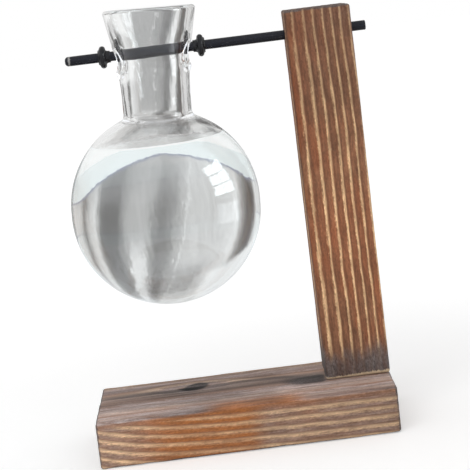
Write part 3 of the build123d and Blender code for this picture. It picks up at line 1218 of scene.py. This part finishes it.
def glass_mesh(settings):
    """The vase as one closed mesh: outer skin, rim, inner skin and the two rounded holes between them."""
    spokes = settings.spokes
    turns = np.arange(spokes) * 2 * pi / spokes
    outer, inner = GlassSkin(settings, False), GlassSkin(settings, True)
    walls = ((0, 0), (settings.bulb_wall, settings.neck_wall))
    foot = max(shoulder(settings, *wall)[0][1] for wall in walls)
    rim_round = settings.neck_wall / 2
    heights = np.linspace(foot + 0.4 * mm, settings.rim_rise - rim_round, 50)

    def bulb_rows(wall, is_inner):
        """The height of the bottom, and the rows from there to the top of the shoulder."""
        profile = bulb_profile(settings, *wall)
        found = []
        for radius, height in profile[1:]:
            wave = blown(settings, turns, height, is_inner) * (1.0 if is_inner else 0.5)
            found.append(polar(turns, height, radius + wave * min(1, radius / calm_radius)))
        return profile[0, 1], found

    bottom_out, bulb_out = bulb_rows(walls[0], False)
    bottom_in, bulb_in = bulb_rows(walls[1], True)
    edge_out, edge_in = (skin.point(turns, heights[-1]) for skin in (outer, inner))
    middle, half = (edge_out + edge_in) / 2, (edge_out - edge_in) / 2
    rim = [
        middle + half * cos(bend) + np.array([0, 0, rim_round * sin(bend)])
        for bend in np.linspace(0, pi, 14)[1:-1]
    ]
    runs = (
        ("bulb", bulb_out),
        ("neck", [outer.point(turns, height) for height in heights]),
        ("rim", rim),
        ("inside", [inner.point(turns, height) for height in heights[::-1]]),
        ("bulb", bulb_in[::-1]),
    )
    kinds = [kind for kind, run in runs for _ in run]
    rows = [row for _, run in runs for row in run]
    levels = np.array([row[0, 2] for row in rows])
    points = [np.concatenate(rows)]
    faces = []
    window_side, window_low, window_high = 7.9 * mm, -11.4 * mm, 5.4 * mm
    half_window = int(round(window_side / (settings.flare_radius * 2 * pi / spokes)))

    def in_window(row, spoke):
        """True if the quad above this row, right of this spoke, makes room for a hole."""
        if kinds[row] != kinds[row + 1] or kinds[row] not in ("neck", "inside"):
            return False
        ends = levels[row:row + 2]
        if min(ends) < window_low or max(ends) > window_high:
            return False
        return any((spoke + half_window - start) % spokes < 2 * half_window for start in (0, spokes // 2))

    def grow(ring, spots):
        """Adds a ring of points beside the last one and returns its point numbers."""
        after = sum(map(len, points)) + np.arange(len(spots))
        points.append(spots)
        faces.extend(ring_faces(ring, after))
        return after

    for row in range(len(rows) - 1):
        quads = ring_faces(ring_of(row, spokes), ring_of(row + 1, spokes))
        faces += [quad for spoke, quad in enumerate(quads) if not in_window(row, spoke)]
    for row, bottom in ((0, bottom_out), (len(rows) - 1, bottom_in)):
        faces += pole_faces(sum(map(len, points)), ring_of(row, spokes))
        points.append(np.array([(0, 0, bottom)]))

    ring_steps, wall_steps = 9, 12
    for side, middle_spoke in ((1, 0), (-1, spokes // 2)):
        columns = [(middle_spoke + shift) % spokes for shift in range(-half_window, half_window + 1)]
        edges = []
        for skin, kind in ((outer, "neck"), (inner, "inside")):
            inside = [row for row, found in enumerate(kinds) if found == kind]
            inside = [row for row in inside if window_low <= levels[row] <= window_high]
            climb = sorted(inside, key=lambda row: levels[row])
            border = [(climb[0], column) for column in columns[:-1]]
            border += [(row, columns[-1]) for row in climb[:-1]]
            border += [(climb[-1], column) for column in columns[:0:-1]]
            border += [(row, columns[0]) for row in climb[:0:-1]]
            border_rows, border_columns = np.array(border).T
            border_turn, border_height = turns[border_columns], levels[border_rows]
            radius = settings.flare_radius - skin.inset
            centre = side * radius * sin(settings.lean) - settings.hole_drop
            round_hole = np.arctan2(radius * np.sin(border_turn), border_height - centre)
            hole_turn, hole_height = skin.hole_edge(side, round_hole)
            shift = (border_turn - hole_turn + pi) % (2 * pi) - pi
            ring = border_rows * spokes + border_columns
            for step in range(1, ring_steps + 1):
                back = 1 - step / ring_steps
                height = hole_height + (border_height - hole_height) * back
                ring = grow(ring, skin.point(hole_turn + shift * back, height))
            edges.append((ring, points[-1], round_hole))
        (ring, outer_points, round_hole), (inner_ring, inner_points, _) = edges
        up = np.cos(round_hole)
        towards = np.stack([up * sin(settings.lean), -np.sin(round_hole), -up * cos(settings.lean)], -1)
        for step in range(1, wall_steps):
            bend = pi * step / wall_steps
            through = (1 - cos(bend)) / 2
            place = outer_points * (1 - through) + inner_points * through
            ring = grow(ring, place + towards * settings.edge_round * sin(bend))
        faces += ring_faces(ring, inner_ring)
    return np.concatenate(points), faces


class VASE_OT_glass_vase(Operator):
    """Make the blown glass vase with its two fire-polished holes"""

    bl_idname = "vase.glass_vase"
    bl_label = "Glass Vase"

    def execute(self, context):
        settings = context.scene.vase_glass
        points, faces = glass_mesh(settings)
        piece = new_object("blown_vase", new_mesh("blown_vase", leaned(settings, points), faces))
        outward(piece)
        piece.data.materials.append(clear_finish("clear_glass_blown", settings.tint, 1.47, 0.05, 0.93))
        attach(piece, "vase")
        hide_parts("glass_vase")
        return {"FINISHED"}


def water_mesh(glass, settings):
    """The water as one closed mesh: against the glass, up to a level top that climbs the wall a little."""
    spokes = glass.spokes
    turns = np.arange(spokes) * 2 * pi / spokes
    profile = bulb_profile(glass, glass.bulb_wall - settings.hold, glass.neck_wall - settings.hold)
    reach = np.concatenate([[0], np.cumsum(np.linalg.norm(np.diff(profile, axis=0), axis=1))])
    edge = settings.level + settings.climb
    wall_rows, top_rows = 90, 26
    ends = []
    for turn in turns:
        spots = leaned(glass, polar(turn, profile[:, 1], profile[:, 0]))
        ends.append(np.interp(edge, spots[:, 2], reach))
    rows = []
    for step in range(1, wall_rows + 1):
        along = np.array(ends) * step / wall_rows
        radius = np.interp(along, reach, profile[:, 0])
        height = np.interp(along, reach, profile[:, 1])
        radius = radius + blown(glass, turns, height, True) * np.minimum(1, radius / calm_radius)
        rows.append(leaned(glass, polar(turns, height, radius)))
    rim = rows[-1]
    middle = np.array([*rim[:, :2].mean(0), settings.level])
    for step in range(1, top_rows + 1):
        inward = (step / top_rows) ** 2
        spots = rim + (middle - rim) * inward
        off = np.linalg.norm((rim - spots)[:, :2], axis=1)
        spots[:, 2] = settings.level + settings.climb * np.exp(-off / settings.climb_reach)
        rows.append(spots)
    rows = rows[:-1]
    faces = []
    for row in range(len(rows) - 1):
        faces += ring_faces(ring_of(row, spokes), ring_of(row + 1, spokes))
    total = len(rows) * spokes
    bottom = leaned(glass, np.array([(0.0, 0.0, profile[0, 1])]))
    for pole, row in ((total, 0), (total + 1, len(rows) - 1)):
        faces += pole_faces(pole, ring_of(row, spokes))
    return np.concatenate([*rows, bottom, middle[None]]), faces


class VASE_OT_water(Operator):
    """Fill the bulb with still water"""

    bl_idname = "vase.water"
    bl_label = "Water"

    def execute(self, context):
        settings = context.scene.vase_water
        points, faces = water_mesh(context.scene.vase_glass, settings)
        piece = new_object("water", new_mesh("water", points, faces))
        outward(piece)
        piece.data.materials.append(clear_finish("clear_water", settings.tint, 1.333, 0.004, 0.95))
        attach(piece, "vase")
        return {"FINISHED"}


# Stage

def surround_painted_glow(settings):
    """A glowing grey drape for the glass to show: the light and shade of its soft folds, its gleam, its
    bright bands and its thin bright line are painted into its glow. It is white near the floor, for the
    water.
    """
    finish = Finish("surround_drape")
    x, y, height = finish.spot()
    across = finish.minus(x, float(hang_point[0]))
    behind = finish.minus(y, float(hang_point[1]))
    bearing = finish.sum("DIVIDE", finish.sum("ARCTAN2", across, behind), radians(1))
    fold = finish.mottle((3.6, 3.6, 90), detail=3, roughness=0.6)
    cloth = finish.mottle((3.0, 3.0, 14), detail=3, roughness=0.6)
    slant = finish.times(finish.minus(height, 74 * mm), degrees(settings.fold_slant) * 10)
    bent = finish.plus(finish.minus(bearing, slant), finish.range(fold, -0.6, 0.6))
    widest = 45
    folds = (  # stops across the folds, set against the photograph: bearing in degrees, brightness
        (-45, 0.72), (-40.5, 0.50), (-37.5, 0.08), (-33, 0.01), (-29.5, 0.05), (-27, 0.14), (-24.5, 0.34),
        (-21.5, 0.80), (-16, 0.62), (-12.5, 0.58), (-8, 0.60), (-6.6, 0.57), (-5.5, 0.49), (-4.4, 0.35),
        (-3, 0.20), (-1.8, 0.15), (-0.8, 0.20), (0.4, 0.36), (1.6, 0.44), (3, 0.45), (4.6, 0.41),
        (6.2, 0.24), (7.8, 0.08), (11.5, 0.07), (13.8, 0.13), (15.2, 0.36), (17, 0.74), (20.5, 0.64),
        (24.5, 0.15), (30, 0.66), (45, 0.72),
    )
    ramp = finish.node("ShaderNodeValToRGB", {0: finish.node("ShaderNodeMapRange", {
        "Value": bent, "From Min": -widest, "From Max": widest,
    }).outputs[0]})
    stops = ramp.color_ramp.elements
    while len(stops) < len(folds):
        stops.new(0.5)
    for stop, (where, grey) in zip(stops, folds):
        stop.position = (where + widest) / (2 * widest)
        stop.color = (grey + 0.004, grey, grey - 0.003, 1.0)
    flat = finish.times(finish.step(height, 72 * mm, 32 * mm), 0.6)
    flat = finish.times(flat, finish.range(finish.step(bearing, -24.0, -31.0), 1.0, 0.3))
    evened = finish.scaled((1.0, 1.0, 1.0), finish.range(finish.step(bearing, 6.0, -13.0), 0.33, 0.68))
    shade = finish.mix(flat, ramp.outputs[0], evened)
    weave = finish.range(finish.times(finish.plus(fold, cloth), 0.5), 0.85, 1.15)
    high_up = finish.times(finish.step(height, 112 * mm, 132 * mm), finish.step(height, 205 * mm, 180 * mm))
    dim = finish.times(finish.beside(bent, -9.0, 5.5, 3.0), high_up)
    shade = finish.scaled(shade, finish.times(weave, finish.range(dim, 1.0, 0.66)))
    # A thin painted bright line along the folds
    thread = finish.beside(bent, -6.1, 0.3, 0.1)
    shade = finish.mix(finish.times(thread, 0.3), shade, (1.0, 1.0, 1.0))
    gleam = finish.beside(bent, 2.8, 2.6, 1.2)
    gleam = finish.times(gleam, finish.step(height, 80 * mm, 112 * mm))
    shade = finish.mix(finish.times(gleam, 0.6), shade, (0.95, 0.95, 0.95))
    lit = finish.times(finish.step(height, 138 * mm, 156 * mm), finish.step(bearing, -9.0, -14.0))
    shade = finish.mix(finish.times(lit, 0.85), shade, (1.0, 1.0, 1.0))
    nearer = finish.beside(bearing, 0.0, 80.0, 100.0)
    nearer = finish.times(nearer, finish.step(height, 60 * mm, 260 * mm))
    shade = finish.mix(nearer, shade, (1.05, 1.08, 1.14))
    aside = finish.apart(bearing, -3.0)
    hem = finish.plus(finish.times(finish.sum("MINIMUM", aside, 30.0), 0.80 * mm), 23.5 * mm)
    above_hem = finish.minus(height, hem)
    shade = finish.mix(finish.step(above_hem, 5 * mm, 0.0), shade, settings.hem)
    shade = finish.mix(finish.step(above_hem, 0.8 * mm, -0.8 * mm), shade, settings.table)
    return finish.done(finish.glow(shade))


def seen_by_glass_only(thing):
    """Hides a stage piece from the camera and from the light that falls on the object."""
    thing.visible_camera = False
    thing.visible_diffuse = False
    thing.visible_shadow = False
    thing.visible_volume_scatter = False


class VASE_OT_stage(Operator):
    """Set the floor, surround, lamps, world and camera"""

    bl_idname = "vase.stage"
    bl_label = "Stage"

    def execute(self, context):
        settings = context.scene.vase_stage
        self.make_camera(settings)
        self.make_floor(settings)
        self.make_surround(settings)
        self.make_lamps(settings)
        self.make_world(settings)
        context.scene.view_settings.view_transform = "Standard"
        return {"FINISHED"}

    def make_camera(self, settings):
        """The camera at the photograph's viewing angle."""
        data = bpy.data.cameras.new("camera")
        data.lens = settings.lens
        data.sensor_width = 36
        data.clip_start = 0.02
        data.clip_end = 60
        camera = new_object("camera", data)
        yaw, pitch, roll = settings.yaw, settings.pitch, settings.roll
        ahead = Vector((sin(yaw) * cos(pitch), cos(yaw) * cos(pitch), -sin(pitch)))
        right = Vector((cos(yaw), -sin(yaw), 0))
        up = right.cross(ahead)
        tipped_right = right * cos(roll) + up * sin(roll)
        tipped_up = up * cos(roll) - right * sin(roll)
        turn = Matrix((tipped_right, tipped_up, -ahead)).transposed().to_4x4()
        camera.matrix_world = Matrix.Translation(Vector(settings.eye)) @ turn
        bpy.context.scene.camera = camera

    def make_floor(self, settings):
        """A plain pale floor that keeps the object's shadow."""
        half = settings.floor_size / 2
        points = [(-half, -half, 0), (half, -half, 0), (half, half, 0), (-half, half, 0)]
        floor = new_object("floor", new_mesh("floor", points, [(0, 1, 2, 3)]))
        finish = Finish("floor_white")
        white = (settings.floor_white,) * 3
        plain = finish.node("ShaderNodeBsdfDiffuse", {"Color": (*white, 1.0)}).outputs[0]
        rays = finish.node("ShaderNodeLightPath").outputs
        away = finish.node("ShaderNodeVectorMath", {0: finish.place()}, operation="LENGTH").outputs["Value"]
        lift = finish.range(finish.step(away, 0.12, 0.45), settings.floor_lift, settings.far_lift)
        through = finish.times(rays["Is Transmission Ray"], settings.glass_lift)
        seen = finish.plus(finish.times(rays["Is Camera Ray"], lift), through)
        glow = finish.glow((1, 1, 1, 1), seen)
        both = finish.node("ShaderNodeAddShader", {0: plain, 1: glow}).outputs[0]
        floor.data.materials.append(finish.done(both))

    def make_surround(self, settings):
        """The glowing grey drape round the vase, its folds painted in light and shade, and the window that
        its glass mirrors.
        """
        steps = 96
        turns = np.linspace(0, 2 * pi, steps, endpoint=False)
        ring = np.stack([np.cos(turns), np.sin(turns)], -1) * settings.surround_radius + hang_point[:2]
        low = np.column_stack([ring, np.full(steps, 0.5 * mm)])
        high = np.column_stack([ring, np.full(steps, settings.surround_height)])
        faces = [(i, (i + 1) % steps, (i + 1) % steps + steps, i + steps) for i in range(steps)]
        surround = new_object("surround", new_mesh("surround", np.concatenate([low, high]), faces))
        surround.data.materials.append(surround_painted_glow(settings))
        seen_by_glass_only(surround)
        window = self.panes("window", settings, (91, 106), (6, 16.5, 27), (13, 9.0), settings.window)
        sill = self.panes("sill", settings, (88, 104), (-17,), (15.4, 14), settings.sill)

    def panes(self, name, settings, bearings, rises, size, strength):
        """Bright panes for the glass to mirror, at these bearings and angles above the bulb's middle."""
        near = settings.surround_radius * 0.94
        middle = 100 * mm  # height of the bulb's middle
        points, faces = [], []
        for bearing in bearings:
            for rise in rises:
                for turn, lift in ((0, 0), (size[0], 0), size, (0, size[1])):
                    side = radians(bearing + turn)
                    height = middle + near * np.tan(radians(rise + lift))
                    spot = hang_point[:2] + near * np.array((sin(side), cos(side)))
                    points.append((*spot, height))
                faces.append(tuple(range(len(points) - 4, len(points))))
        made = new_object(name, new_mesh(name, points, faces))
        finish = Finish(name + "_light")
        veil = finish.range(finish.mottle((14, 14, 20), detail=3), 0.55, 1.2)
        light = finish.glow((0.93, 0.97, 1.0, 1.0), finish.times(veil, strength))
        made.data.materials.append(finish.done(light))
        seen_by_glass_only(made)
        return made

    def make_lamps(self, settings):
        """One large soft lamp from the upper left of the front."""
        data = bpy.data.lights.new("key", "AREA")
        data.shape = "RECTANGLE"
        data.size = 0.9
        data.size_y = 0.7
        data.energy = settings.key
        lamp = new_object("key", data)
        stand = Vector((-0.35, -0.85, 0.95))
        aim = Vector((0, 0, 0.08)) - stand
        lamp.matrix_world = Matrix.Translation(stand) @ aim.to_track_quat("-Z", "Y").to_matrix().to_4x4()
        lamp.visible_glossy = False
        lamp.visible_transmission = False

    def make_world(self, settings):
        """White behind everything that the camera, gloss and glass see, and even light for the rest."""
        world = bpy.data.worlds.new("studio")
        bpy.context.scene.world = world
        world.use_nodes = True
        tree = Nodes(world.node_tree)
        rays = tree.node("ShaderNodeLightPath").outputs
        seen = tree.plus(rays["Is Camera Ray"], rays["Is Glossy Ray"])
        seen = tree.sum("MINIMUM", tree.plus(seen, rays["Is Transmission Ray"]), 1.0)
        light, white = (
            tree.node("ShaderNodeBackground", {"Color": (1, 1, 1, 1), "Strength": strength}).outputs[0]
            for strength in (settings.fill, 1.0)
        )
        tree.node("ShaderNodeOutputWorld", {"Surface": tree.blend(seen, light, white)})


class VASE_PT_panel(Panel):
    """Lists the pieces and their settings"""

    bl_idname = "VASE_PT_panel"
    bl_label = "Propagation Vase"
    bl_space_type = "VIEW_3D"
    bl_region_type = "UI"
    bl_category = "Vase"

    def draw(self, context):
        for operator in operators:
            self.layout.operator(operator.bl_idname)
        for name, group in settings_groups.items():
            box = self.layout.box()
            box.label(text=name.replace("vase_", "").title())
            for key in group.bl_rna.properties.keys():
                if key not in ("rna_type", "name"):
                    box.prop(getattr(context.scene, name), key)


settings_groups = {
    "vase_base": BaseSettings,
    "vase_post": PostSettings,
    "vase_screws": ScrewSettings,
    "vase_rod": RodSettings,
    "vase_glass": GlassSettings,
    "vase_water": WaterSettings,
    "vase_stage": StageSettings,
}

operators = (
    VASE_OT_stage,
    VASE_OT_base_plank,
    VASE_OT_upright_post,
    VASE_OT_foot_screws,
    VASE_OT_hanging_rod,
    VASE_OT_stop_rings,
    VASE_OT_glass_vase,
    VASE_OT_water,
)


def register():
    """Registers the settings, the operators and the panel."""
    for group in (*settings_groups.values(), *operators, VASE_PT_panel):
        bpy.utils.register_class(group)
    for name, group in settings_groups.items():
        setattr(bpy.types.Scene, name, PointerProperty(type=group))


def unregister():
    """Takes them away again."""
    for name in settings_groups:
        delattr(bpy.types.Scene, name)
    for group in (VASE_PT_panel, *reversed(operators), *reversed(settings_groups.values())):
        bpy.utils.unregister_class(group)


def main():
    register()
    bpy.ops.vase.stage()
    bpy.ops.vase.base_plank()
    bpy.ops.vase.upright_post()
    bpy.ops.vase.foot_screws()
    bpy.ops.vase.hanging_rod()
    bpy.ops.vase.stop_rings()
    bpy.ops.vase.glass_vase()
    bpy.ops.vase.water()


if __name__ == "__main__":
    main()
